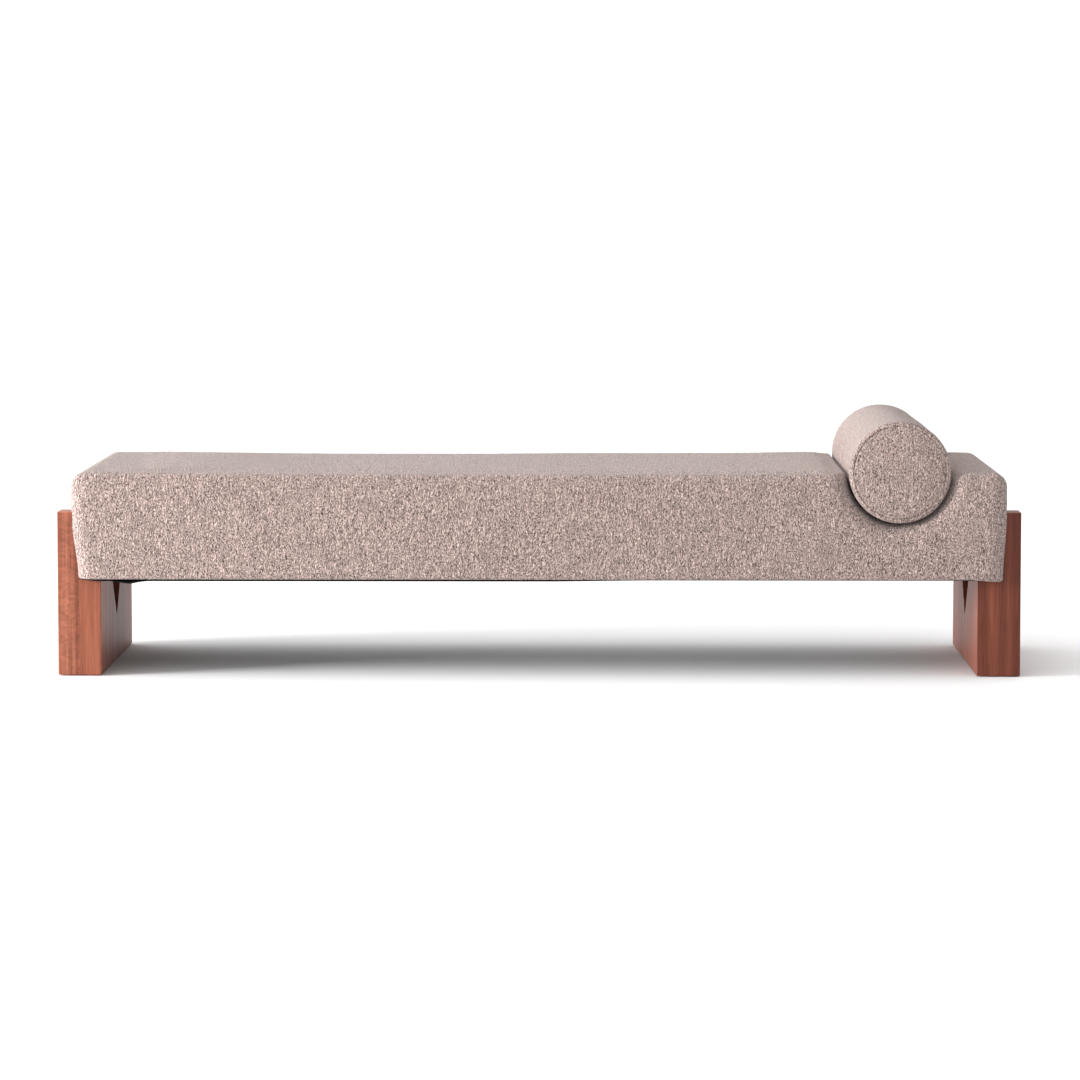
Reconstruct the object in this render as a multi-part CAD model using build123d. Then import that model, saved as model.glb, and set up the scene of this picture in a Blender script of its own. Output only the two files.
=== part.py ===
from build123d import *
import os
from math import sqrt

# Upholstered daybed: a long soft body held between two slab legs, with a loose bolster lying in a
# channel across the seat. Millimetres. The origin is the centre of the footprint on the floor,
# +X runs along the length to the bolster end, +Y to the back, +Z up.

# Legs: at each end a tall outer board and a short inner board, glued face to face. A V-notch runs
# down through both, but the outer board is cut only above the ledge, so it closes the V's point.
overall_length = 2032.0
leg_depth = 635.0
board = 45.5
floor_pad = 2.0             # felt under the boards
ledge_top = 206.0           # top of the inner board, which carries the body
post_top = 348.0            # top of the outer board
notch_point = 99.0          # height of the square V-notch's point
corner_round = 3.0
face_round = 1.5
seam_round = 0.5
pad_radius = 15.0
pad_inset = 40.0            # pad centre from the leg's front and back
pads_per_leg = 4

# Upholstered body.
seat_top = 434.0
body_length = 1972.0        # the soft ends reach round the posts
body_depth = 700.0
body_round = 24.0
hem_round = 6.0
cover = 1.5                 # fabric thickness
wrap = 6.0                  # fibre wadding thickness
post_gap = 0.5              # clearance between the cover and the posts
dust_sheet = 1.0            # thickness of the lining under the frame
hem_width = 45.0            # fabric turned in under the frame
topper = 32.5               # soft foam above the firm core

# Timber base inside the body.
side_foam = 17.5
end_foam = 11.0
rail = 30.0
rail_height = 70.0
cross_rails = 5
cross_rail_height = 60.0
slats = 12
slat_width = 70.0
slat = 12.0
block_leg = 60.0            # corner block's legs
block_height = 32.0

# Fasteners.
dowel_radius = 5.0
dowel_length = 40.0
dowel_rows = ((45.0, (85.0, 250.0)), (150.0, (120.0, 250.0)))    # height, distances from the centre
bolt_radius = 4.0
bolt_head_radius = 8.0
bolt_head = 5.0
bolt_rise = 22.5            # heights above the underside of the base
bolt_offsets = (185.0, 265.0)
insert_radius = 6.0
insert_length = 15.0
hole_play = 0.1             # a hole's radius beyond its pin's
bolt_play = 0.6
screw_radius = 2.5
screw_length = 70.0
slat_screw_radius = 2.0
slat_screw_length = 30.0
screw_head_ratio = 1.9      # countersunk head radius over shank radius
corner_screw_rises = (10.5, 56.5)
cross_screw_rises = (30.5, 56.5)
staples_per_side = 24
staple_crown = 10.0
staple_leg = 8.0
staple_wire = 0.7

# Bolster.
bolster_x = 759.0
bolster_axis = 434.0
bolster_radius = 108.0
bolster_length = 711.0
bolster_gap = 1.2           # clearance round the bolster in its channel
bolster_round = 10.0        # tube's edge, up to the end seam
end_crown = 8.0             # bulge of each end
core_radius = 100.0
piece_gap = 0.2             # clearance between the bolster's layers
tape_half_width = 3.5
tape = 1.2
teeth_half_width = 1.2
slider_half_width = 4.0
slider_length = 12.0
slider_play = 0.4
slider_start = 5.0          # degrees below the level of the axis, on the seat's side
pull_length = 28.0
pull_width = 6.0
pull = 1.0

# Worked out from the sizes above.
half_length = overall_length / 2
post_face = half_length - board
ledge_face = post_face - board
body_bottom = ledge_top + dust_sheet
frame_bottom = body_bottom + cover
frame_end = post_face - post_gap - cover - wrap - end_foam
frame_side = body_depth / 2 - cover - wrap - side_foam
rail_top = frame_bottom + rail_height
deck_top = rail_top + slat
foam_inset = cover + wrap
core_top = seat_top - foam_inset - topper
seam_radius = bolster_radius - bolster_round
seam_y = bolster_length / 2 - end_crown
end_radius = seam_radius - 2 * piece_gap
crown_sphere = (end_radius ** 2 + end_crown ** 2) / (2 * end_crown)
sides = (-1, 1)


def block(x, y, z):
    """Box between a low and a high limit on each axis, given in either order."""
    limits = [sorted(pair) for pair in (x, y, z)]
    centre = [(low + high) / 2 for low, high in limits]
    return Pos(*centre) * Box(*[high - low for low, high in limits])


def rod(radius, start, end):
    """Cylinder of a radius between two points."""
    line = Vector(*end) - Vector(*start)
    base = Plane(origin=start, z_dir=line)
    return base * Cylinder(radius, line.length, align=(Align.CENTER, Align.CENTER, Align.MIN))


def screw(radius, head, tip):
    """Countersunk screw with its head's face at head and its end at tip."""
    line = Vector(*tip) - Vector(*head)
    wide = radius * screw_head_ratio
    base = Plane(origin=head, z_dir=line)
    cone = base * Cone(wide, radius, wide, align=(Align.CENTER, Align.CENTER, Align.MIN))
    return rod(radius, head, tip) + cone


def group(solids):
    """Separate solids of identical pieces, kept as one part."""
    return Part() + list(solids)


# Legs

def ease(slab, x, size, tool):
    """Round or chamfer the edges of a board's face at a distance along the length."""
    face = slab.faces().filter_by(Axis.X).filter_by_position(Axis.X, x - size, x + size)[0]
    return tool(face.edges(), size)


def notch(bottom):
    """Square V along the length, point down, from a height upwards."""
    corners = ((0, notch_point), (leg_depth, notch_point + leg_depth), (-leg_depth, notch_point + leg_depth))
    face = Plane.YZ * make_face(Polyline(*corners, close=True))
    whole = (-half_length, half_length)
    return extrude(face, half_length, both=True) & block(whole, whole, (bottom, half_length))


def leg_board(side, open_face, top, notch_bottom):
    """Upright board of one leg between the glue seam and its open face, with the notch in it."""
    half = leg_depth / 2
    slab = block((side * post_face, side * open_face), (-half, half), (floor_pad, top)) - notch(notch_bottom)
    profile = [e for e in slab.edges().filter_by(Axis.X) if abs(e.center().Y) > 1]
    slab = fillet(profile, corner_round)
    slab = ease(slab, side * open_face, face_round, fillet)
    return ease(slab, side * post_face, seam_round, chamfer)


def dowels(side, play=0.0):
    """Dowels across one leg's glue seam, or the holes for them."""
    reach = dowel_length / 2 + play
    places = [(y * way, z) for z, offsets in dowel_rows for y in offsets for way in sides]
    return [rod(dowel_radius + play, (side * (post_face - reach), y, z), (side * (post_face + reach), y, z))
            for y, z in places]


def bolt_places():
    """Heights and depths of one leg's bolts."""
    return [(way * offset, frame_bottom + bolt_rise) for offset in bolt_offsets for way in sides]


def along_bolts(side, radius, inner, outer):
    """Cylinders on one leg's bolt axes between two distances from the centre."""
    return [rod(radius, (side * inner, y, z), (side * outer, y, z)) for y, z in bolt_places()]


def leg_bolts(side):
    """Flanged bolts from inside the frame into the outer board."""
    head_face = frame_end - rail
    shanks = along_bolts(side, bolt_radius, head_face, post_face + insert_length - 1)
    heads = along_bolts(side, bolt_head_radius, head_face - bolt_head, head_face)
    return group(shank + head for shank, head in zip(shanks, heads))


def leg_inserts(side):
    """Threaded brass inserts in the outer board."""
    shells = along_bolts(side, insert_radius, post_face, post_face + insert_length)
    bores = along_bolts(side, bolt_radius + hole_play, post_face - 1, post_face + insert_length + 1)
    return group(shell - bore for shell, bore in zip(shells, bores))


def floor_pads(side):
    """Felt pads under one leg, spaced evenly from front to back."""
    x = side * (post_face + ledge_face + board) / 2
    reach = leg_depth / 2 - pad_inset
    step = 2 * reach / (pads_per_leg - 1)
    return group(rod(pad_radius, (x, -reach + i * step, 0), (x, -reach + i * step, floor_pad))
                 for i in range(pads_per_leg))


def leg_nodes(side, name):
    """All of one leg's pieces."""
    holes = dowels(side, hole_play)
    sockets = along_bolts(side, insert_radius + hole_play, post_face, post_face + insert_length + 1)
    return {
        name + "_leg_outer_board": leg_board(side, half_length, post_top, ledge_top) - holes - sockets,
        name + "_leg_inner_board": leg_board(side, ledge_face, ledge_top, notch_point) - holes,
        name + "_leg_dowels": group(dowels(side)),
        name + "_leg_inserts": leg_inserts(side),
        name + "_leg_bolts": leg_bolts(side),
        name + "_floor_pads": floor_pads(side),
    }


# Timber base

def cross_rail_places():
    """Distances along the length of the cross rails."""
    step = 2 * (frame_end - rail) / (cross_rails + 1)
    return [(i + 1) * step - frame_end + rail for i in range(cross_rails)]


def slat_places():
    """Distances along the length of the slats."""
    step = (2 * frame_end - slat_width) / (slats - 1)
    return [i * step - frame_end + slat_width / 2 for i in range(slats)]


def rail_screws(places, rises, play=0.0):
    """Screws through both long rails into the ends of the rails between them."""
    head, tip = frame_side + play, frame_side - screw_length - play
    return [screw(screw_radius + play, (x, way * head, z), (x, way * tip, z))
            for x in places for z in [frame_bottom + rise for rise in rises] for way in sides]


def slat_screws(play=0.0):
    """Screws down through the slats into the long rails."""
    y = frame_side - rail / 2
    head, tip = deck_top + play, deck_top - slat_screw_length - play
    return [screw(slat_screw_radius + play, (x, way * y, head), (x, way * y, tip))
            for x in slat_places() for way in sides]


def corner_block(side, way):
    """Triangular block glued into a corner of the base."""
    x, y = side * (frame_end - rail), way * (frame_side - rail)
    corners = ((x, y), (x - side * block_leg, y), (x, y - way * block_leg))
    base = Plane.XY.offset(rail_top - block_height) * make_face(Polyline(*corners, close=True))
    return extrude(base, block_height, dir=(0, 0, 1))


def base_nodes():
    """Rails, blocks, slats and their screws."""
    end_places = [side * (frame_end - rail / 2) for side in sides]
    cross_places = cross_rail_places()
    holes = (rail_screws(end_places, corner_screw_rises, hole_play)
             + rail_screws(cross_places, cross_screw_rises, hole_play))
    inside = frame_side - rail
    height = (frame_bottom, rail_top)
    nodes = {}
    for way, name in zip(sides, ("front", "rear")):
        beam = block((-frame_end, frame_end), (way * inside, way * frame_side), height)
        nodes[name + "_rail"] = beam - holes - slat_screws(hole_play)
    for side, name in zip(sides, ("left", "right")):
        beam = block((side * (frame_end - rail), side * frame_end), (-inside, inside), height)
        bores = along_bolts(side, bolt_radius + bolt_play, frame_end - rail, frame_end)
        nodes[name + "_end_rail"] = beam - holes - bores
        for way, end in zip(sides, ("front", "rear")):
            nodes[f"{name}_{end}_corner_block"] = corner_block(side, way)
    for i, x in enumerate(cross_places):
        reach = (x - rail / 2, x + rail / 2)
        beam = block(reach, (-inside, inside), (rail_top - cross_rail_height, rail_top))
        nodes[f"cross_rail_{i + 1}"] = beam - holes
    drilled = slat_screws(hole_play)
    for i, x in enumerate(slat_places()):
        reach = (x - slat_width / 2, x + slat_width / 2)
        strip = block(reach, (-frame_side, frame_side), (rail_top, deck_top))
        nodes[f"slat_{i + 1:02d}"] = strip - drilled
    nodes["corner_screws"] = group(rail_screws(end_places, corner_screw_rises))
    nodes["cross_rail_screws"] = group(rail_screws(cross_places, cross_screw_rises))
    nodes["slat_screws"] = group(slat_screws())
    return nodes


# Upholstery

def soft_body(inset):
    """The body's outer shape drawn in by inset, with its pockets for the posts and its channel."""
    half_x, half_y = body_length / 2 - inset, body_depth / 2 - inset
    shape = block((-half_x, half_x), (-half_y, half_y), (body_bottom + min(inset, cover), seat_top - inset))
    shape = fillet(shape.edges().filter_by(Axis.Z), body_round - inset)
    shape = fillet(shape.faces().sort_by(Axis.Z)[-1].edges(), body_round - inset)
    if hem_round > inset:
        shape = fillet(shape.faces().sort_by(Axis.Z)[0].edges(), hem_round - inset)
    pocket_y = leg_depth / 2 + post_gap + inset
    pocket_top = post_top + post_gap + inset
    pocket_x = post_face - post_gap - inset
    for side in sides:
        shape -= block((side * pocket_x, side * half_length), (-pocket_y, pocket_y), (0, pocket_top))
    return shape - channel(bolster_gap + inset)


def channel(extra):
    """Cylinder round the bolster's axis, longer than the seat is deep."""
    ends = [(bolster_x, way * body_depth, bolster_axis) for way in sides]
    return rod(bolster_radius + extra, *ends)


def bolt_clearance(inner):
    """Holes for the leg bolts from a distance along the length out to the posts."""
    return [hole for side in sides for hole in along_bolts(side, bolt_radius + bolt_play, inner, post_face)]


def foam_piece(x, y, z):
    """Part of the foam between limits on each axis."""
    return soft_body(foam_inset) & block(x, y, z)


def seat_cover():
    """Fabric over the body, turned in under the frame."""
    skin = soft_body(0) - soft_body(cover)
    opening_x, opening_y = body_length / 2 - foam_inset - hem_width, body_depth / 2 - hem_width
    skin -= block((-opening_x, opening_x), (-opening_y, opening_y), (0, frame_bottom))
    return skin - bolt_clearance(frame_end)


def staples():
    """Staples up through the lining and the turned-in fabric into the long rails."""
    step = 2 * ledge_face / (staples_per_side + 1)
    half = staple_crown / 2
    y = frame_side - rail / 2
    solids = []
    for way in sides:
        thick = (way * y - staple_wire / 2, way * y + staple_wire / 2)
        for i in range(staples_per_side):
            x = (i + 1) * step - ledge_face
            wire = block((x - half, x + half), thick, (ledge_top - staple_wire, ledge_top))
            for end in (x - half + staple_wire / 2, x + half - staple_wire / 2):
                wire += block((end - staple_wire / 2, end + staple_wire / 2), thick,
                              (ledge_top - staple_wire, ledge_top + staple_leg))
            solids.append(wire)
    return group(solids)


def upholstery_nodes():
    """Foam, wadding, cover and lining."""
    whole_length = (-half_length, half_length)
    whole_depth = (-body_depth, body_depth)
    low = (frame_bottom, deck_top)
    high = (core_top, seat_top)
    lining_x = post_face - foam_inset
    lining_y = body_depth / 2 - foam_inset
    nodes = {
        "front_side_foam": foam_piece(whole_length, (-body_depth, -frame_side), low),
        "rear_side_foam": foam_piece(whole_length, (frame_side, body_depth), low),
        "foam_core": foam_piece(whole_length, whole_depth, (deck_top, core_top)),
        "foam_topper_left": foam_piece((-half_length, bolster_x), whole_depth, high),
        "foam_topper_right": foam_piece((bolster_x, half_length), whole_depth, high),
        "fibre_wrap": soft_body(cover) - soft_body(foam_inset) - bolt_clearance(frame_end),
        "seat_cover": seat_cover(),
        "dust_cover": block((-lining_x, lining_x), (-lining_y, lining_y), (ledge_top, body_bottom)),
        "dust_cover_staples": staples(),
    }
    for side, name in zip(sides, ("left", "right")):
        strip = foam_piece((side * frame_end, side * half_length), (-frame_side, frame_side), low)
        nodes[name + "_end_foam"] = strip - bolt_clearance(frame_end)
    return nodes


# Bolster

def drum(radius, half, edge):
    """Cylinder on the bolster's axis with rounded ends."""
    ends = [(bolster_x, way * half, bolster_axis) for way in sides]
    shape = rod(radius, *ends)
    return fillet(shape.edges().filter_by(GeomType.CIRCLE), edge) if edge else shape


def ring(outer, inner, low, high):
    """Flat ring round the bolster's axis between two distances along it."""
    ends = [(bolster_x, y, bolster_axis) for y in (low, high)]
    return rod(outer, *ends) - rod(inner, *ends)


def bolster_end(way):
    """Round end panel, crowned outwards."""
    ends = [(bolster_x, way * y, bolster_axis) for y in (seam_y - cover, bolster_length)]
    centre = Pos(bolster_x, way * (bolster_length / 2 - crown_sphere), bolster_axis)
    return rod(end_radius, *ends) & centre * Sphere(crown_sphere)


def crown_height(radius):
    """Distance along the bolster of the end's crowned surface at a radius."""
    return bolster_length / 2 - crown_sphere + sqrt(crown_sphere ** 2 - radius ** 2)


def zip_nodes():
    """Zip round the lower half of the rear end seam, with its slider and pull."""
    tape_y = crown_height(seam_radius - tape_half_width) + piece_gap
    teeth_y = tape_y + tape
    lower = block((0, half_length), (0, body_depth), (0, bolster_axis))
    tape_ring = ring(seam_radius + tape_half_width, seam_radius - tape_half_width, tape_y, teeth_y)
    teeth = ring(seam_radius + teeth_half_width, seam_radius - teeth_half_width, teeth_y, teeth_y + tape)
    groove_half = teeth_half_width + slider_play
    groove = ring(seam_radius + groove_half, seam_radius - groove_half, tape_y, teeth_y + tape + slider_play)
    slider_y = (teeth_y + slider_play, teeth_y + tape + slider_play + pull)
    turn = Pos(bolster_x, 0, bolster_axis) * Rot(0, -slider_start, 0)
    half = slider_length / 2
    seam = -seam_radius
    slider = turn * block((seam - slider_half_width, seam + slider_half_width), slider_y, (-half, half))
    pull_y = (slider_y[1], slider_y[1] + pull)
    tab = block((seam, seam + pull_length), pull_y, (-pull_width / 2, pull_width / 2))
    return {
        "bolster_zip_tape": (tape_ring + teeth) & lower,
        "zip_slider": slider - groove,
        "zip_pull": turn * tab,
    }


def bolster_nodes():
    """Core, wadding, tube, end panels and zip of the bolster."""
    inner = bolster_radius - cover
    filling = seam_y - cover - piece_gap
    tube = drum(bolster_radius, seam_y, bolster_round) - drum(inner, seam_y - cover, bolster_round - cover)
    sleeve = drum(inner - piece_gap, filling, bolster_round - cover - piece_gap)
    return {
        "bolster_core": drum(core_radius - piece_gap, filling, 0),
        "bolster_wrap": sleeve - drum(core_radius, bolster_length, 0),
        "bolster_cover": tube - drum(seam_radius - piece_gap, bolster_length, 0),
        "bolster_end_front": bolster_end(-1),
        "bolster_end_rear": bolster_end(1),
        **zip_nodes(),
    }


def daybed_nodes():
    """Every piece of the daybed by name."""
    return {
        **leg_nodes(-1, "left"),
        **leg_nodes(1, "right"),
        **base_nodes(),
        **upholstery_nodes(),
        **bolster_nodes(),
    }


os.makedirs("parts", exist_ok=True)
for node_name, shape in daybed_nodes().items():
    export_step(shape, f"parts/{node_name}.step")
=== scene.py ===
import math

import bmesh
import bpy
import numpy as np
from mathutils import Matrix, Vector, noise


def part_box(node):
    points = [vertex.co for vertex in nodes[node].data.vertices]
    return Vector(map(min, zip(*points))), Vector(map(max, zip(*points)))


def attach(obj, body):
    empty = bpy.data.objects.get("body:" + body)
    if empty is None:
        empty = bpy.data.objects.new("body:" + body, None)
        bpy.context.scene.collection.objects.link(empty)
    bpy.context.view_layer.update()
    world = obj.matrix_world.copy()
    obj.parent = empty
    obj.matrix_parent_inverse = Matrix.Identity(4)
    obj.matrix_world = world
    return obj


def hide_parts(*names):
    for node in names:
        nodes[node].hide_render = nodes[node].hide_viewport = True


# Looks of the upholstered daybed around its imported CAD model. Metres. +X runs to the bolster end,
# +Y to the back, +Z up.

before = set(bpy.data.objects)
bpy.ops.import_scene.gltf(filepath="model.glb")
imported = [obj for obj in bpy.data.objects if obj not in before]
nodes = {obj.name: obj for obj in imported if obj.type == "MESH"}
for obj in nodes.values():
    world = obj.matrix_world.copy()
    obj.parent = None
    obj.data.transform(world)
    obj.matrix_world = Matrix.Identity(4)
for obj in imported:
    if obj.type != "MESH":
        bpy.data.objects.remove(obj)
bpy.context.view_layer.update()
scene = bpy.context.scene

# Places read from the CAD model.
seat_low, seat_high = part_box("seat_cover")
board_low, board_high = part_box("right_leg_outer_board")
ledge_low, ledge_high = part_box("right_leg_inner_board")
lining_low, lining_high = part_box("dust_cover")
bolster_low, bolster_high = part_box("bolster_cover")
crown_y = -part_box("bolster_end_front")[0].y
zip_low, zip_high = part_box("bolster_zip_tape")
staple_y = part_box("dust_cover_staples")[1].y

post_face = board_low.x
post_side = board_high.y
post_top = board_high.z
ledge_face = ledge_low.x
notch_point = 0.099                 # point of the legs' V-notch; its sides rise at 45 degrees
ledge_top = ledge_high.z
seat_bottom = seat_low.z
bolster_x = (bolster_low.x + bolster_high.x) / 2
bolster_z = (bolster_low.z + bolster_high.z) / 2
bolster_radius = (bolster_high.x - bolster_low.x) / 2
bolster_half = bolster_high.y

# Body.
edge_round = 0.022
end_round = 0.034
hem_round = 0.006
channel_round = 0.012               # rolled edge of the channel on the top
channel_flare = 0.014               # how much rounder it is at the front
channel_gap = 0.010                 # how far the channel opens off the bolster there
flare_start = 0.28                  # where the channel's front starts to open
pocket_round = 0.005                # edges of the pockets that take the posts
post_clearance = 0.0004             # air between the cover and a post
notch_bulge = 0.009                 # how far the ends swell out between the posts
bolster_clearance = 0.0011          # air between the cover and the bolster
end_taper = {-1: 0.014, 1: 0.007}   # how far the corners of each end draw in at their bottom
taper_top = 0.34                    # height at which that starts
top_sag = 0.0035                    # dip of the top in the middle of its length
sag_flat = 0.42                     # half length over which the dip is full
sag_end = 0.86                      # half length at which it has gone
ear_droop = 0.005                   # how far the front right bottom corner hangs
ear_reach = 0.08
start_inset = 0.004                 # how much smaller the body starts, before it swells
swell_low = -0.0004                 # least and most that the cover stands proud of the plain shape
swell_high = 0.0045
seat_voxel = 0.0135
lump_height = 0.0006
nap = 0.0005                        # height of the finest unevenness in the mesh

# Bolster.
tube_round = 0.010
seam_gap = 0.0004                   # between the tube's rolled edge and an end panel
seam_depth = 0.0020
barrel = 0.0020                     # how much thinner the tube is at its seams
tube_segments = 160
tube_step = 0.008

# Light and camera.
sky_left = 2.2
sky_right = 0.36
backdrop = 1.2
key_power = 620.0
key_place = (-6.0, -2.2, 1.2)
key_aim = (-0.2, 0.0, 0.3)
key_size = 2.2
camera_place = (0.113, -9.706, 1.075)
camera_tilt = 85.217
camera_turn = 0.672
camera_lens = 149.0

# Zip.
zip_pitch = 0.0025
zip_tooth = (0.0016, 0.0009, 0.0011)


# Mesh helpers

def points_of(piece):
    """Vertex positions of a mesh piece as an array."""
    flat = np.empty(len(piece.data.vertices) * 3)
    piece.data.vertices.foreach_get("co", flat)
    return flat.reshape(-1, 3)


def place_points(piece, points):
    """Move a mesh piece's vertices."""
    piece.data.vertices.foreach_set("co", points.ravel())
    piece.data.update()


def new_piece(name, mesh):
    """Object in the scene from a mesh or a bmesh, shaded smooth."""
    if isinstance(mesh, bmesh.types.BMesh):
        source, mesh = mesh, bpy.data.meshes.new(name)
        source.to_mesh(mesh)
        source.free()
    piece = bpy.data.objects.new(name, mesh)
    scene.collection.objects.link(piece)
    mesh.shade_smooth()
    return piece


def apply_modifiers(piece):
    """Keep a piece's shape as its modifiers make it, and drop them."""
    graph = bpy.context.evaluated_depsgraph_get()
    mesh = bpy.data.meshes.new_from_object(piece.evaluated_get(graph))
    piece.modifiers.clear()
    old, piece.data = piece.data, mesh
    bpy.data.meshes.remove(old)
    mesh.shade_smooth()


def box_mesh(low, high):
    """Plain box to start a voxel shape from."""
    mesh = bmesh.new()
    bmesh.ops.create_cube(mesh, size=1)
    for vertex in mesh.verts:
        vertex.co = [a + (b - a) * (c + 0.5) for a, b, c in zip(low, high, vertex.co)]
    return mesh


def inflate(piece, pinned, pressure=4.0, cap=0.01, frames=20):
    """Swell a padded piece by a short cloth simulation; no point moves further than the cap."""
    start = points_of(piece)
    group = piece.vertex_groups.new(name="pinned")
    group.add([int(i) for i in np.flatnonzero(pinned)], 1.0, "REPLACE")
    cloth = piece.modifiers.new("cloth", "CLOTH")
    cloth.settings.vertex_group_mass = group.name
    cloth.settings.use_pressure = True
    cloth.settings.uniform_pressure_force = pressure
    cloth.settings.effector_weights.gravity = 0
    cloth.point_cache.frame_end = frames
    for frame_number in range(1, frames + 1):
        scene.frame_set(frame_number)
    graph = bpy.context.evaluated_depsgraph_get()
    swollen = points_of(piece.evaluated_get(graph))
    piece.modifiers.remove(cloth)
    piece.vertex_groups.clear()
    scene.frame_set(1)
    move = swollen - start
    length = np.linalg.norm(move, axis=1, keepdims=True)
    place_points(piece, start + move * np.minimum(1, cap / np.maximum(length, 1e-9)))


def ramp(value, low, high):
    """Smooth step from 0 at low to 1 at high."""
    t = np.clip((value - low) / (high - low), 0, 1)
    return t * t * (3 - 2 * t)


def rough(points, size, seed):
    """Smooth random values between about -1 and 1, one for each point."""
    shift = Vector((seed * 7.3, seed * 3.1, seed * 5.7))
    return np.array([noise.noise(Vector(p) / size + shift) for p in points])


# Body shape

def box_distance(points, low, high, radius):
    """Distance to a box with rounded edges, negative inside."""
    low, high = np.array(low), np.array(high)
    q = np.abs(points - (low + high) / 2) - (high - low) / 2 + radius
    outside = np.linalg.norm(np.maximum(q, 0), axis=1)
    return outside + np.minimum(q.max(axis=1), 0) - radius


def common(a, b, radius):
    """Distance to what two shapes share, with their edge rounded."""
    corner = np.hypot(np.maximum(a + radius, 0), np.maximum(b + radius, 0))
    return np.minimum(-radius, np.maximum(a, b)) + corner


def unsag(points):
    """Undo the body's dip and taper, so that its shape can be taken as straight."""
    x, y, z = points.T
    dip = top_sag * (1 - ramp(np.abs(x), sag_flat, sag_end)) * ramp(z, seat_bottom, seat_high.z)
    taper = np.where(x < 0, end_taper[-1], end_taper[1]) * (1 - ramp(z, seat_bottom, taper_top))
    taper = taper * ramp(np.abs(y), post_side - 0.06, post_side - 0.01)
    corner = ramp(x, seat_high.x - ear_reach, seat_high.x) * ramp(-y, post_side - ear_reach, post_side)
    drop = ear_droop * corner * (1 - ramp(z, seat_bottom, seat_bottom + ear_reach))
    return np.column_stack((x + np.sign(x) * taper * ramp(np.abs(x), 0.7, 1.0), y, z + dip + drop))


def post_distance(points):
    """Distance to the nearer leg's outer board, taken without its notch."""
    mirrored = np.column_stack((np.abs(points[:, 0]), points[:, 1], points[:, 2]))
    low = (post_face, -post_side, 0)
    high = (2 * post_face, post_side, post_top)
    return box_distance(mirrored, low, high, 0.002)


def notch_swell(points):
    """How far an end may swell out into the open notch between the posts."""
    x, y, z = points.T
    inside = z - notch_point - np.abs(y)
    opening = ramp(inside, 0, 0.06) * ramp(z, ledge_top - 0.012, ledge_top + 0.02)
    return notch_bulge * opening * ramp(np.abs(x), post_face - 0.03, post_face)


def bolster_distance(points):
    """Distance to the cylinder that the bolster lies in."""
    return np.hypot(points[:, 0] - bolster_x, points[:, 2] - bolster_z) - bolster_radius


def body_distance(points):
    """Distance to the upholstered body."""
    straight = unsag(points)
    low = (-1, seat_low.y, seat_bottom - 0.1)
    high = (1, seat_high.y, seat_high.z)
    shape = box_distance(straight * (0, 1, 1), low, high, edge_round)
    shape = common(shape, np.abs(straight[:, 0]) - seat_high.x, end_round)
    shape = common(shape, seat_bottom - straight[:, 2], hem_round)
    shape = common(shape, post_clearance - notch_swell(points) - post_distance(points), pocket_round)
    front = ramp(-points[:, 1], flare_start, seat_high.y)
    channel = bolster_clearance + channel_gap * front - bolster_distance(points)
    return common(shape, channel, channel_round + channel_flare * front)


def slope(distance, points, step=1e-4):
    """Gradient of a distance at points."""
    return np.column_stack([(distance(points + offset) - distance(points - offset)) / (2 * step)
                            for offset in np.eye(3) * step])


def pull_to(distance, points, low, high, rounds=6):
    """Move points along a distance's slope until it lies between two values."""
    for _ in range(rounds):
        value = distance(points)
        excess = value - np.clip(value, low, high)
        gradient = slope(distance, points)
        size = np.maximum((gradient ** 2).sum(axis=1), 0.25)
        points = points - gradient * (excess / size)[:, None]
    return points


def swell_room(points):
    """How far the cover may stand proud of the body's plain shape at each point."""
    near = np.minimum(post_distance(points), bolster_distance(points))
    return swell_high * ramp(near, 0.004, 0.05)


def make_body():
    """Upholstered body: voxel shape, cloth swell, then one subdivision."""
    margin = Vector((0.006,) * 3)
    piece = new_piece("seat_body", box_mesh(seat_low - margin, seat_high + margin))
    tools = [tool_box(side) for side in (-1, 1)] + [tool_drum()]
    for tool in tools:
        cut = piece.modifiers.new("cut", "BOOLEAN")
        cut.object = tool
        cut.operation = "DIFFERENCE"
        cut.solver = "EXACT"
    remesh = piece.modifiers.new("voxels", "REMESH")
    remesh.mode = "VOXEL"
    remesh.voxel_size = seat_voxel
    apply_modifiers(piece)
    for tool in tools:
        bpy.data.objects.remove(tool)
    points = pull_to(body_distance, points_of(piece), -start_inset, -start_inset)
    place_points(piece, points)
    held = (points[:, 2] < seat_bottom + 0.012) | (post_distance(points) < 0.008)
    inflate(piece, held | (bolster_distance(points) < 0.008), cap=0.009)
    points = points_of(piece)
    points = pull_to(body_distance, points, swell_low, swell_room(points))
    place_points(piece, points)
    smooth = piece.modifiers.new("smooth", "SMOOTH")
    smooth.factor = 0.5
    smooth.iterations = 2
    divide = piece.modifiers.new("divide", "SUBSURF")
    divide.levels = 1
    apply_modifiers(piece)
    points = points_of(piece)
    normals = slope(body_distance, points)
    lumps = lump_height * rough(points, 0.11, 1) + nap * rough(points, 0.008, 2)
    points = points + normals * lumps[:, None]
    place_points(piece, pull_to(body_distance, points, swell_low, swell_room(points) + 0.0005))
    return piece


def tool_box(side):
    """Block that cuts the pocket for one post."""
    low = (post_face, -post_side, 0.0)
    high = (2 * post_face, post_side, post_top)
    mesh = box_mesh(low, high)
    if side < 0:
        bmesh.ops.scale(mesh, vec=(-1, 1, 1), verts=mesh.verts)
        bmesh.ops.reverse_faces(mesh, faces=mesh.faces)
    return new_piece("tool", mesh)


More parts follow.
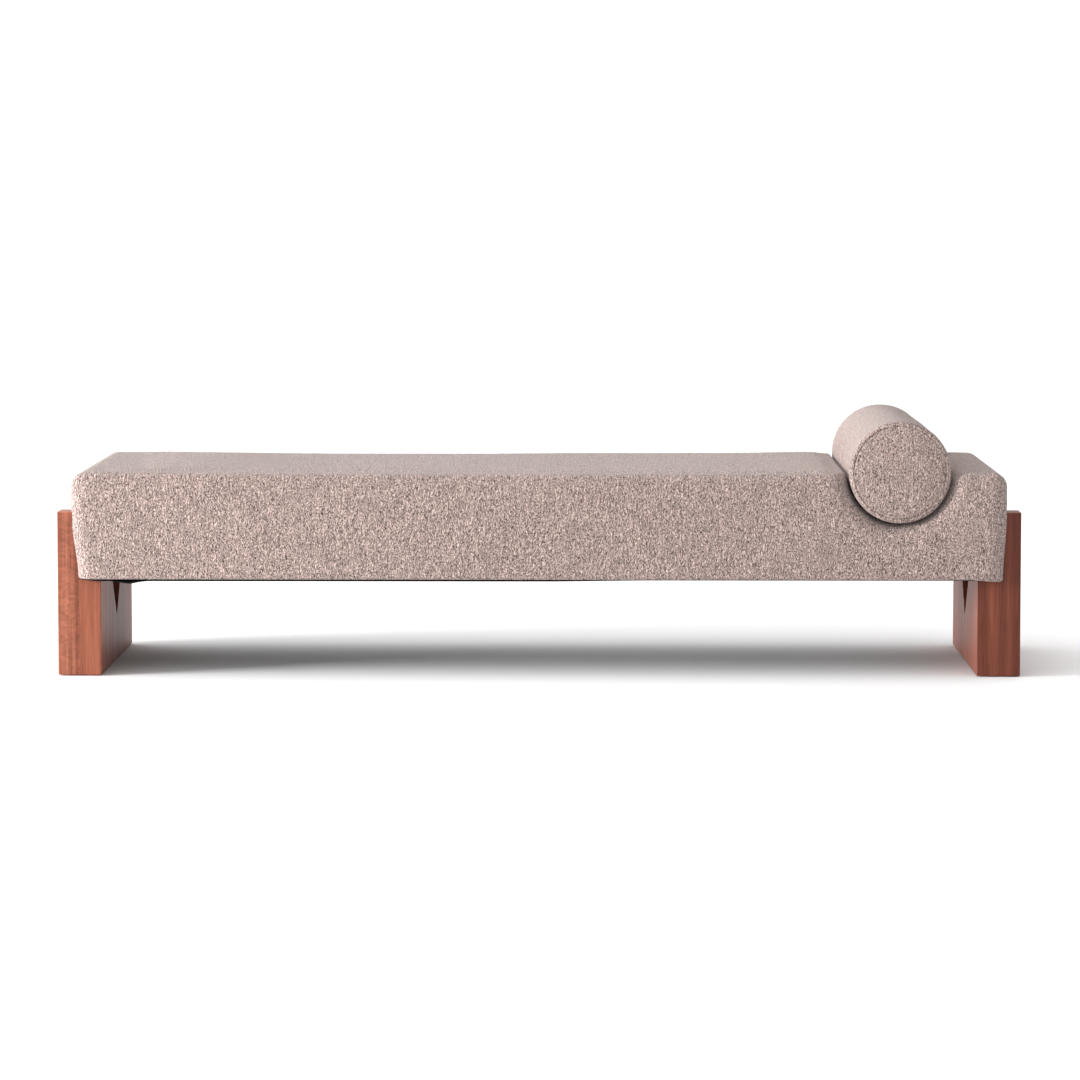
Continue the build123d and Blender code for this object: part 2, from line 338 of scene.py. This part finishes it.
def tool_drum():
    """Drum that cuts the channel for the bolster."""
    mesh = bmesh.new()
    bmesh.ops.create_cone(mesh, cap_ends=True, segments=96, radius1=bolster_radius,
                          radius2=bolster_radius, depth=1)
    for vertex in mesh.verts:
        x, y, z = vertex.co
        vertex.co = (x + bolster_x, z, bolster_z - y)
    return new_piece("tool", mesh)


# Bolster shape

def lathe(name, profile, segments):
    """Closed form turned about the bolster's axis from points of radius and distance along it."""
    mesh = bmesh.new()
    rings = []
    for radius, y in profile:
        if radius < 1e-6:
            rings.append([mesh.verts.new((bolster_x, y, bolster_z))])
            continue
        angles = [2 * math.pi * i / segments for i in range(segments)]
        rings.append([mesh.verts.new((bolster_x + radius * math.cos(a), y, bolster_z + radius * math.sin(a)))
                      for a in angles])
    for a, b in zip(rings, rings[1:]):
        for i in range(segments):
            j = (i + 1) % segments
            corners = [a[i % len(a)], a[j % len(a)], b[j % len(b)], b[i % len(b)]]
            mesh.faces.new(list(dict.fromkeys(corners)))
    bmesh.ops.recalc_face_normals(mesh, faces=mesh.faces)
    return new_piece(name, mesh)


def tube_profile():
    """Outline of the bolster's tube: recessed ends, rolled edges and a slight barrel."""
    seam = bolster_radius - tube_round
    floor_y = bolster_half - seam_depth
    end = [(seam * i / 10, floor_y) for i in range(10)] + [(seam - 0.0004, floor_y)]
    turn = [math.radians(a) for a in range(-90, 1, 10)]
    roll = [(seam + tube_round * math.cos(a) - barrel * (1 + math.sin(a)) * 0.5,
             bolster_half - tube_round - tube_round * math.sin(a)) for a in turn]
    count = round((bolster_half - tube_round) / tube_step)
    straight = []
    for i in range(1, count + 1):
        y = (bolster_half - tube_round) * (1 - i / count)
        straight.append((bolster_radius - barrel * 0.5 * (1 + (y / bolster_half) ** 4) * (y > 0), y))
    rear = end + roll + straight
    return [(r, -y) for r, y in rear] + [(r, y) for r, y in reversed(rear[:-1])]


def panel_profile(way):
    """Outline of an end panel: crowned outside, flat where it meets the filling."""
    seam = bolster_radius - tube_round - seam_gap - 0.0002
    base = bolster_half - seam_depth + 0.0001
    edge = bolster_half - 0.0004
    rise = crown_y - edge
    crown = [(seam * t, edge + rise * (1 - t ** 2.4)) for t in [i / 24 for i in range(24)]]
    outline = crown + [(seam - 0.0002, edge - 0.0002), (seam, edge - 0.0008), (seam - 0.0004, base)]
    outline += [(seam * (1 - i / 6), base) for i in range(1, 7)]
    return [(r, way * y) for r, y in outline]


def roughen(piece, height, size, seed):
    """Give a piece's surface a slight unevenness along its normals."""
    points = points_of(piece)
    normals = np.empty(len(piece.data.vertices) * 3)
    piece.data.vertices.foreach_get("normal", normals)
    shift = height * rough(points, size, seed)
    place_points(piece, points + normals.reshape(-1, 3) * shift[:, None])


def make_bolster():
    """Tube and two end panels of the bolster."""
    tube = lathe("bolster_tube", tube_profile(), tube_segments)
    roughen(tube, 0.0006, 0.05, 3)
    panels = [lathe(f"bolster_panel_{name}", panel_profile(way), 96)
              for name, way in (("front", -1), ("rear", 1))]
    for panel in panels:
        roughen(panel, 0.0004, 0.04, 4)
    return tube, panels


# Lining under the body

def lining_drop(x, y):
    """How far the lining hangs below the frame at a place under the body."""
    between = (1 - ramp(np.abs(x), ledge_face - 0.06, ledge_face - 0.004))
    middle = 0.004 * between * (1 - ramp(np.abs(y), 0.12, staple_y - 0.012))
    front = ramp(-y, staple_y + 0.004, lining_high.y)
    hang = ramp(x, -0.955, -0.93) * (1 - ramp(x, 0.0, 0.25)) * 0.0024
    tuck = 0.0055 * np.exp(-((x + ledge_face - 0.062) / 0.022) ** 2)
    return middle + front * (hang + tuck)


def make_lining():
    """Thin black sheet stapled under the frame, sagging a little between the staples."""
    mesh = bmesh.new()
    columns, rows = 240, 86
    bmesh.ops.create_grid(mesh, x_segments=columns, y_segments=rows, size=0.5)
    width, depth = lining_high.x - lining_low.x, lining_high.y - lining_low.y
    for vertex in mesh.verts:
        vertex.co = (vertex.co.x * width, vertex.co.y * depth, lining_high.z - 0.0001)
    piece = new_piece("lining", mesh)
    points = points_of(piece)
    points[:, 2] -= lining_drop(points[:, 0], points[:, 1])
    place_points(piece, points)
    thick = piece.modifiers.new("thickness", "SOLIDIFY")
    thick.thickness = 0.0008
    thick.offset = -1
    apply_modifiers(piece)
    return piece


# Zip

def make_zip():
    """Zip tape round the lower half of the rear seam, and its teeth."""
    seam = bolster_radius - tube_round
    half = (zip_high.x - zip_low.x) / 2 - seam
    tape_y, teeth_y = zip_low.y, zip_high.y
    tape = arc_strip("zip_tape", seam, half, tape_y, tape_y + 0.0011)
    mesh = bmesh.new()
    count = int(math.pi * seam / zip_pitch)
    size = Vector(zip_tooth)
    for i in range(count):
        angle = -math.pi * (i + 0.5) / count
        side = 0.0004 if i % 2 else -0.0004
        made = bmesh.ops.create_cube(mesh, size=1)["verts"]
        for vertex in made:
            r = seam + side + vertex.co.x * size.x
            along = angle + vertex.co.z * size.z / seam
            y = teeth_y - size.y / 2 + vertex.co.y * size.y
            vertex.co = (bolster_x + r * math.cos(along), y, bolster_z + r * math.sin(along))
    return tape, new_piece("zip_teeth", mesh)


def arc_strip(name, radius, half, near, far, segments=120):
    """Flat strip bent round the lower half of the bolster's axis."""
    mesh = bmesh.new()
    rings = []
    for i in range(segments + 1):
        angle = -math.pi * i / segments
        corners = ((-half, near), (half, near), (half, far), (-half, far))
        rings.append([mesh.verts.new((bolster_x + (radius + r) * math.cos(angle), y,
                                      bolster_z + (radius + r) * math.sin(angle))) for r, y in corners])
    for a, b in zip(rings, rings[1:]):
        for i in range(4):
            j = (i + 1) % 4
            mesh.faces.new((a[i], a[j], b[j], b[i]))
    for ring in (rings[0], rings[-1]):
        mesh.faces.new(ring)
    bmesh.ops.recalc_face_normals(mesh, faces=mesh.faces)
    return new_piece(name, mesh)


# Materials

def new_material(name, **settings):
    """Material with one Principled shader, and its tree and shader."""
    made = bpy.data.materials.new(name)
    made.use_nodes = True
    tree = made.node_tree
    shader = tree.nodes["Principled BSDF"]
    for key, value in settings.items():
        shader.inputs[key.replace("_", " ")].default_value = value
    return made, tree, shader


def add(tree, kind, settings=None, **inputs):
    """Shader node with its settings and inputs; an input is a value or another node's output."""
    node = tree.nodes.new("ShaderNode" + kind)
    for key, value in (settings or {}).items():
        setattr(node, key, value)
    for key, value in inputs.items():
        connect(tree, value, node.inputs[key.replace("_", " ")])
    return node


def connect(tree, value, socket):
    """Link or set an input."""
    if isinstance(value, bpy.types.NodeSocket):
        tree.links.new(value, socket)
    else:
        socket.default_value = value


def maths(tree, operation, *values):
    """Math node's result."""
    node = tree.nodes.new("ShaderNodeMath")
    node.operation = operation
    for i, value in enumerate(values):
        connect(tree, value, node.inputs[i])
    return node.outputs[0]


def vector_maths(tree, operation, a, b):
    """Vector math node's result."""
    node = add(tree, "VectorMath", {"operation": operation})
    connect(tree, a, node.inputs[0])
    connect(tree, b, node.inputs[1])
    return node.outputs[0]


def grey(tree, value):
    """Grey colour of a value."""
    return add(tree, "CombineColor", Red=value, Green=value, Blue=value).outputs[0]


def mix(tree, factor, a, b, blend="MIX"):
    """Mix of two colours."""
    node = tree.nodes.new("ShaderNodeMix")
    node.data_type = "RGBA"
    node.blend_type = blend
    for value, socket in zip((factor, a, b), (node.inputs[0], node.inputs[6], node.inputs[7])):
        connect(tree, value, socket)
    return node.outputs[2]


def place(tree, scale=(1, 1, 1), offset=(0, 0, 0)):
    """Object coordinates, scaled and shifted."""
    coordinates = add(tree, "TexCoord").outputs["Object"]
    return add(tree, "Mapping", Vector=coordinates, Scale=scale, Location=offset).outputs[0]


def fbm(tree, vector, scale, detail=2.0, roughness=0.5, distortion=0.0):
    """Noise value, about 0 to 1."""
    node = add(tree, "TexNoise", Vector=vector, Scale=scale, Detail=detail, Roughness=roughness,
               Distortion=distortion)
    return node.outputs["Fac"]


def spread(tree, value, low, high, to_low=0.0, to_high=1.0):
    """Value mapped from one range to another and clamped."""
    node = add(tree, "MapRange", Value=value)
    for key, number in (("From Min", low), ("From Max", high), ("To Min", to_low), ("To Max", to_high)):
        node.inputs[key].default_value = number
    return node.outputs[0]


def bump(tree, shader, height, distance, strength=1.0):
    """Surface relief from a height between 0 and 1."""
    node = add(tree, "Bump", Height=height, Distance=distance, Strength=strength)
    tree.links.new(node.outputs[0], shader.inputs["Normal"])


def tint(colour, factor):
    """Colour made lighter or darker."""
    return tuple(c * factor for c in colour[:3]) + (1.0,)


def boucle(name, light, dark, drawn=(1, 0.4, 0.38), rows=0.07):
    """Looped yarn: short pale strands over gaps darkened with painted shade, drawn out upwards and in faint
    rows.
    """
    made, tree, shader = new_material(name, Roughness=0.9, Sheen_Weight=0.36, Sheen_Roughness=0.4,
                                      Sheen_Tint=(1.0, 0.97, 0.96, 1.0), Specular_IOR_Level=0.15)
    base = place(tree)
    bend = add(tree, "TexNoise", Vector=base, Scale=200.0, Detail=0.0).outputs["Color"]
    centred = vector_maths(tree, "SUBTRACT", bend, (0.5, 0.5, 0.5))
    moved = vector_maths(tree, "ADD", base, vector_maths(tree, "MULTIPLY", centred, (0.004, 0.004, 0.003)))
    strands = add(tree, "Mapping", Vector=moved, Scale=drawn).outputs[0]
    strands = spread(tree, fbm(tree, strands, 760.0, 0.0, 0.5), 0.26, 0.70)
    coarse = add(tree, "Mapping", Vector=base, Scale=drawn).outputs[0]
    clumps = spread(tree, fbm(tree, coarse, 210.0, 1.0), 0.3, 0.7)
    lines = fbm(tree, add(tree, "Mapping", Vector=base, Scale=(1, 0.07, 0.07)).outputs[0], 330.0, 0.0)
    # The clumps' tone is partly the yarn's random tone and partly painted shade of its relief: higher clumps
    # lighter, lower ones darker.
    shade = maths(tree, "MULTIPLY", spread(tree, lines, 0.3, 0.7, 1 - rows, 1 + rows),
                  spread(tree, clumps, 0.0, 1.0, 0.87, 1.13))
    # Painted shade: the near-black dark colour stands for the shade in the gaps between the loops.
    colour = mix(tree, strands, dark, light)
    connect(tree, mix(tree, 1.0, colour, grey(tree, shade), "MULTIPLY"), shader.inputs["Base Color"])
    relief = maths(tree, "ADD", maths(tree, "MULTIPLY", strands, 0.45), maths(tree, "MULTIPLY", clumps, 0.55))
    bump(tree, shader, relief, 0.0034)
    return made


def wood(name, colour, seed=0.0, curl=0.0, staves=0.0, gloss=0.48, grain_axis=2):
    """Stained timber: grain along one axis, and if wanted curly figure across it and glued staves."""
    made, tree, shader = new_material(name, Roughness=gloss, Specular_IOR_Level=0.18)
    along, longer = [1.0, 1.0, 1.0], [1.0, 1.0, 1.0]
    along[grain_axis], longer[grain_axis] = 0.03, 0.015
    shift = (seed, seed * 0.7, seed * 1.3)
    grain = place(tree, along, shift)
    bands = fbm(tree, grain, 40.0, 3.0, 0.55, 0.6)
    fine = fbm(tree, grain, 260.0, 3.0, 0.6)
    pores = fbm(tree, place(tree, longer, shift), 900.0, 1.0)
    shade = maths(tree, "MULTIPLY", spread(tree, bands, 0.3, 0.7, 0.74, 1.22),
                  spread(tree, fine, 0.3, 0.7, 0.82, 1.16))
    shade = maths(tree, "MULTIPLY", shade, spread(tree, pores, 0.30, 0.42, 0.70, 1.0))
    if curl:
        flames = fbm(tree, place(tree, (0.5, 0.5, 1.0), shift), 75.0, 2.0, 0.5, 1.2)
        shade = maths(tree, "MULTIPLY", shade, spread(tree, flames, 0.3, 0.7, 1 - curl, 1 + curl))
    if staves:
        shade = maths(tree, "MULTIPLY", shade, stave_shade(tree, staves, seed))
    deep = (colour[0] * 0.90, colour[1] * 0.78, colour[2] * 0.76, 1.0)
    warm = mix(tree, spread(tree, bands, 0.3, 0.7), deep, colour)
    connect(tree, mix(tree, 1.0, warm, grey(tree, shade), "MULTIPLY"), shader.inputs["Base Color"])
    bump(tree, shader, fine, 0.00012, 0.6)
    return made


def stave_shade(tree, width, seed):
    """Slight change of tone from stave to stave, with a dark seam between them."""
    column = maths(tree, "DIVIDE", add(tree, "SeparateXYZ", Vector=place(tree)).outputs["Y"], width)
    number = maths(tree, "ADD", maths(tree, "FLOOR", column), seed)
    tone = add(tree, "TexWhiteNoise", {"noise_dimensions": "1D"}, W=number).outputs["Value"]
    edge = maths(tree, "ABSOLUTE", maths(tree, "SUBTRACT", maths(tree, "FRACT", column), 0.5))
    return maths(tree, "MULTIPLY", spread(tree, tone, 0.0, 1.0, 0.84, 1.14),
                 spread(tree, edge, 0.4940, 0.4975, 1.0, 0.62))


def fabric(name, colour, scale, relief, roughness=0.9):
    """Fine fibrous or foamy surface in one colour, slightly uneven."""
    made, tree, shader = new_material(name, Roughness=roughness, Specular_IOR_Level=0.15)
    fine = fbm(tree, place(tree), scale, 3.0, 0.6)
    wide = fbm(tree, place(tree), scale * 0.06, 2.0)
    shade = maths(tree, "MULTIPLY", spread(tree, fine, 0.3, 0.7, 0.8, 1.15),
                  spread(tree, wide, 0.3, 0.7, 0.9, 1.1))
    connect(tree, mix(tree, 1.0, colour, grey(tree, shade), "MULTIPLY"), shader.inputs["Base Color"])
    bump(tree, shader, fine, relief)
    return made


def metal(name, colour, roughness=0.32):
    """Brushed metal with slight stains."""
    made, tree, shader = new_material(name, Metallic=1.0, Roughness=roughness)
    stains = fbm(tree, place(tree), 160.0, 3.0)
    brushed = mix(tree, spread(tree, stains, 0.3, 0.75), tint(colour, 0.72), colour)
    connect(tree, brushed, shader.inputs["Base Color"])
    bump(tree, shader, fbm(tree, place(tree, (1, 1, 8)), 900.0, 2.0), 0.00004, 0.5)
    return made


def dress(piece, material):
    """Give a piece one material."""
    piece.data.materials.clear()
    piece.data.materials.append(material)


def dress_frame():
    """Materials of the CAD nodes that stay."""
    # Painted light and shade: the four boards are one timber, and their tones differ partly as real variation
    # between boards and partly as the light from the left falls. On each leg, the board facing that light is
    # painted lighter than the one turned from it, and the right leg, farther from the light, is painted
    # darker than the left.
    left = (0.385, 0.134, 0.078, 1.0)
    left_inner = (0.295, 0.094, 0.053, 1.0)
    right = (0.200, 0.057, 0.033, 1.0)
    right_inner = (0.270, 0.080, 0.046, 1.0)
    boards = {
        "left_leg_outer_board": wood("left_outer_wood", left, 1.0, curl=0.22, staves=0.159),
        "left_leg_inner_board": wood("left_inner_wood", left_inner, 2.3, staves=0.159),
        "right_leg_outer_board": wood("right_outer_wood", right, 3.1, staves=0.159),
        "right_leg_inner_board": wood("right_inner_wood", right_inner, 4.7, staves=0.159),
    }
    pine = (0.62, 0.43, 0.24, 1.0)
    pine_x = wood("pine_long", pine, 5.0, gloss=0.6, grain_axis=0)
    pine_y = wood("pine_cross", pine, 6.0, gloss=0.6, grain_axis=1)
    plywood = wood("slat_plywood", (0.66, 0.50, 0.32, 1.0), 7.0, gloss=0.55, grain_axis=1)
    steel = metal("fastener_steel", (0.62, 0.62, 0.62, 1.0))
    brass = metal("insert_brass", (0.78, 0.57, 0.25, 1.0))
    felt = fabric("felt", (0.09, 0.075, 0.065, 1.0), 900.0, 0.0004)
    beech = wood("dowel_wood", (0.62, 0.42, 0.25, 1.0), 8.0, gloss=0.6, grain_axis=0)
    kinds = [("floor_pads", felt), ("dowels", beech), ("inserts", brass), ("bolts", steel), ("screws", steel),
             ("staples", steel), ("slat_", plywood), ("cross_rail", pine_y), ("end_rail", pine_y),
             ("corner_block", pine_x), ("rail", pine_x), ("zip_", steel)]
    for name, node in nodes.items():
        material = boards.get(name) or next((m for word, m in kinds if word in name), None)
        if material:
            dress(node, material)


# Studio

def make_floor():
    """Pale floor."""
    mesh = bmesh.new()
    bmesh.ops.create_grid(mesh, x_segments=1, y_segments=1, size=60)
    piece = new_piece("floor", mesh)
    made, tree, shader = new_material("floor_paint", Roughness=0.9, Specular_IOR_Level=0.0)
    shader.inputs["Base Color"].default_value = (0.88, 0.88, 0.88, 1.0)
    dress(piece, made)


def make_lights():
    """White surroundings and one large soft light from the left."""
    world = bpy.data.worlds.new("studio")
    scene.world = world
    world.use_nodes = True
    tree = world.node_tree
    side = add(tree, "SeparateXYZ", Vector=add(tree, "TexCoord").outputs["Generated"]).outputs["X"]
    sky = spread(tree, side, -1.0, 1.0, sky_left, sky_right)
    seen = add(tree, "LightPath").outputs["Is Camera Ray"]
    connect(tree, mix(tree, seen, grey(tree, sky), (backdrop, backdrop, backdrop, 1)),
            tree.nodes["Background"].inputs["Color"])
    data = bpy.data.lights.new("key", "AREA")
    data.shape = "RECTANGLE"
    data.size = data.size_y = key_size
    data.energy = key_power
    key = bpy.data.objects.new("key", data)
    key.location = key_place
    key.rotation_euler = (Vector(key_aim) - key.location).to_track_quat("-Z", "Y").to_euler()
    scene.collection.objects.link(key)


def make_camera():
    """Long lens at the front, a little above the seat and aimed down."""
    data = bpy.data.cameras.new("camera")
    data.lens = camera_lens
    camera = bpy.data.objects.new("camera", data)
    camera.location = camera_place
    camera.rotation_euler = (math.radians(camera_tilt), 0, math.radians(camera_turn))
    scene.collection.objects.link(camera)
    scene.camera = camera


make_camera()
make_lights()
make_floor()
scene.view_settings.view_transform = "Standard"
dress_frame()

# The second colour is painted shade for the gaps between the loops, not the yarn's own colour.
yarn = boucle("boucle", (0.53, 0.405, 0.368, 1.0), (0.062, 0.040, 0.034, 1.0))
body = make_body()
dress(body, yarn)
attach(body, "daybed")
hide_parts("seat_cover", "fibre_wrap", "foam_core", "foam_topper_left", "foam_topper_right",
            "front_side_foam", "rear_side_foam", "left_end_foam", "right_end_foam")

tube, panels = make_bolster()
dress(tube, yarn)
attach(tube, "bolster")
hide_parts("bolster_cover", "bolster_core", "bolster_wrap")
for panel, node in zip(panels, ("bolster_end_front", "bolster_end_rear")):
    dress(panel, yarn)
    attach(panel, "bolster")
    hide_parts(node)

lining = make_lining()
dress(lining, fabric("lining", (0.012, 0.011, 0.012, 1.0), 1400.0, 0.0002))
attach(lining, "daybed")
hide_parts("dust_cover")

tape, teeth = make_zip()
dress(tape, fabric("zip_tape", (0.30, 0.24, 0.22, 1.0), 1500.0, 0.0002))
dress(teeth, metal("zip_metal", (0.55, 0.53, 0.50, 1.0)))
for piece in (tape, teeth):
    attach(piece, "bolster")
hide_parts("bolster_zip_tape")
